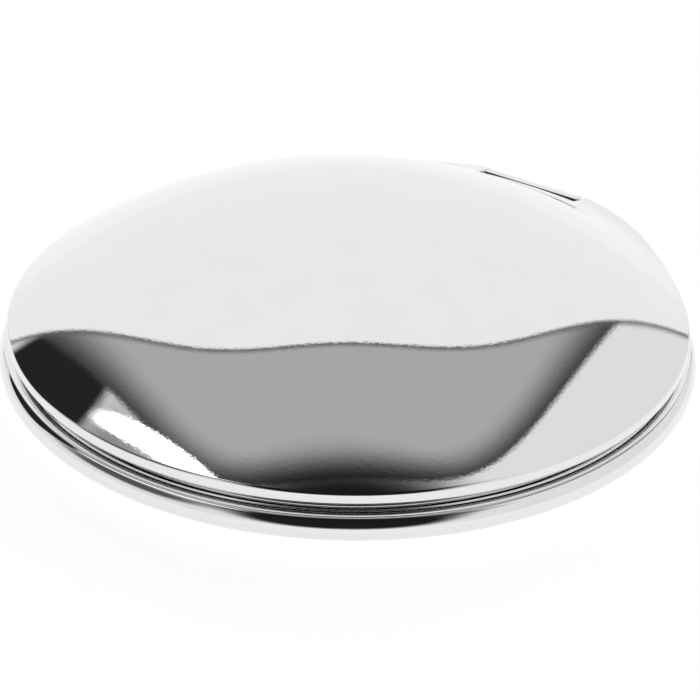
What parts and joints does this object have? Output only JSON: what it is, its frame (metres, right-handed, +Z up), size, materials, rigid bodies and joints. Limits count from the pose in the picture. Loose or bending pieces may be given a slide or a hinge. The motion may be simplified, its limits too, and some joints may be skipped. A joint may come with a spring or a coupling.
{
  "type": "compact mirror",
  "caption": "Round folding pocket compact with domed polished chrome shells, a rounded rim bead, a rear hinge set in a notch, and a mirror in each half.",
  "frame": {"origin": "centre of the flat underside that the closed compact rests on", "axes": "+Z up through the apex of the lid, +Y towards the hinge, +X along the hinge axis"},
  "size_m": [0.0636, 0.0663, 0.0178],
  "materials": {
    "chrome_shell": "mirror polished",
    "tray_plastic": "fine matt moulding",
    "foam_tape": "closed-cell foam tape",
    "mirror_glass": "silvered glass with a ground edge",
    "trim_chrome": "satin chrome plate",
    "magnet_nickel": "nickel plated magnet",
    "bumper_rubber": "soft clear polyurethane",
    "pin_steel": "drawn wire",
    "washer_nylon": "natural nylon"
  },
  "bodies": {
    "base": {"base_shell": "chrome_shell", "base_tray": "tray_plastic", "base_tape": "foam_tape", "base_mirror": "mirror_glass", "base_trim_ring": "trim_chrome", "base_magnets": "magnet_nickel", "bumpers": "bumper_rubber"},
    "lid": {"lid_shell": "chrome_shell", "lid_tray": "tray_plastic", "lid_tape": "foam_tape", "lid_mirror": "mirror_glass", "lid_trim_ring": "trim_chrome", "lid_magnets": "magnet_nickel", "hinge_pin": "pin_steel", "friction_washers": "washer_nylon"}
  },
  "joints": [
    {"name": "lid_hinge", "type": "hinge", "parent": "base", "child": "lid", "pos_m": [0, 0.03188, 0.0068], "axis": [-1, 0, 0], "range_deg": [0, 120]}
  ]
}
